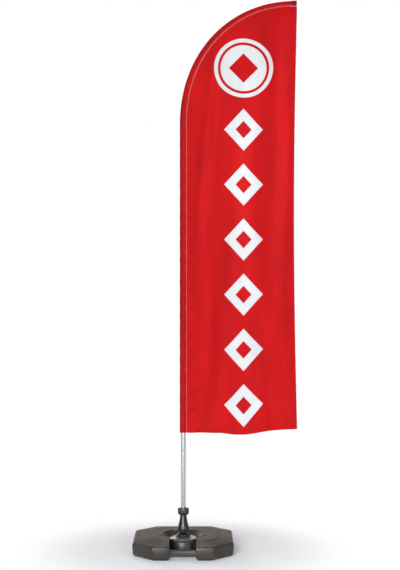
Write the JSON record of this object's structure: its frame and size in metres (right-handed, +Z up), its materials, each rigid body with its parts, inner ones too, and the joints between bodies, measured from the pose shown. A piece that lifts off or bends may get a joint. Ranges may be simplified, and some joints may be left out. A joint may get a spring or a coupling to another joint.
{
  "type": "feather flag with pole",
  "caption": "Curved feather flag on a sectional pole with a cloth sleeve, turning on ball bearings in a low water-filled base with a carry handle.",
  "frame": {"origin": "on the floor under the tank, on the pole's axis", "axes": "+Z up along the pole, +X towards the flag's free edge, -Y towards the carry handle and the printed front"},
  "size_m": [0.8231, 0.5, 2.7722],
  "materials": {
    "tank_plastic": "satin",
    "water": "gloss",
    "cap_plastic": "satin",
    "soft_rubber": "matte",
    "brass": "satin",
    "zinc_steel": "satin",
    "bearing_steel": "polished",
    "hub_plastic": "satin",
    "nylon": "satin",
    "anodised_aluminium": "satin",
    "glass_fibre": "satin",
    "red_cloth": "matte",
    "webbing": "matte"
  },
  "bodies": {
    "base": {"tank_shell": "tank_plastic", "water_fill": "water", "filler_gasket": "soft_rubber", "threaded_insert": "brass", "clamp_plate": "zinc_steel", "spindle_hub": "hub_plastic", "spindle": "zinc_steel", "spindle_top_nut": "zinc_steel", "inner_spacer": "zinc_steel", "lower_inner_race": "bearing_steel", "upper_inner_race": "bearing_steel"},
    "filler_cap": {"filler_cap": "cap_plastic"},
    "rotor": {"cone_socket": "hub_plastic", "collet": "nylon", "lower_outer_race": "bearing_steel", "upper_outer_race": "bearing_steel", "outer_spacer": "zinc_steel", "rotor_snap_ring": "bearing_steel"},
    "lower_balls": {"lower_ball_cage": "bearing_steel"},
    "upper_balls": {"upper_ball_cage": "bearing_steel"},
    "clamp_collar": {"clamp_collar": "hub_plastic"},
    "pole": {"foot_plug": "hub_plastic", "pole_lower": "anodised_aluminium", "pole_middle": "anodised_aluminium", "rod_ferrule": "hub_plastic", "tip_rod": "glass_fibre", "tip_cap": "soft_rubber", "pole_sleeve": "red_cloth", "tip_pocket": "webbing", "flag_panel": "red_cloth"}
  },
  "joints": [
    {"name": "pole_swivel", "type": "hinge", "parent": "base", "child": "rotor", "pos_m": [0, 0, 0.1115], "axis": [0, 0, 1], "continuous": true},
    {"name": "lower_balls_orbit", "type": "hinge", "parent": "base", "child": "lower_balls", "pos_m": [0, 0, 0.1066], "axis": [0, 0, 1], "continuous": true},
    {"name": "upper_balls_orbit", "type": "hinge", "parent": "base", "child": "upper_balls", "pos_m": [0, 0, 0.1252], "axis": [0, 0, 1], "continuous": true},
    {"name": "collar_turn", "type": "hinge", "parent": "rotor", "child": "clamp_collar", "pos_m": [0, 0, 0.194], "axis": [0, 0, 1], "range_deg": [0, 180]},
    {"name": "pole_lift", "type": "slide", "parent": "rotor", "child": "pole", "axis": [0, 0, 1], "range_m": [0, 0.08]},
    {"name": "filler_cap_lift", "type": "slide", "parent": "base", "child": "filler_cap", "axis": [0, 0, 1], "range_m": [0, 0.03]}
  ],
  "couplings": [
    {"joint": "lower_balls_orbit", "follows": "pole_swivel", "ratio": 0.588},
    {"joint": "upper_balls_orbit", "follows": "pole_swivel", "ratio": 0.588}
  ]
}
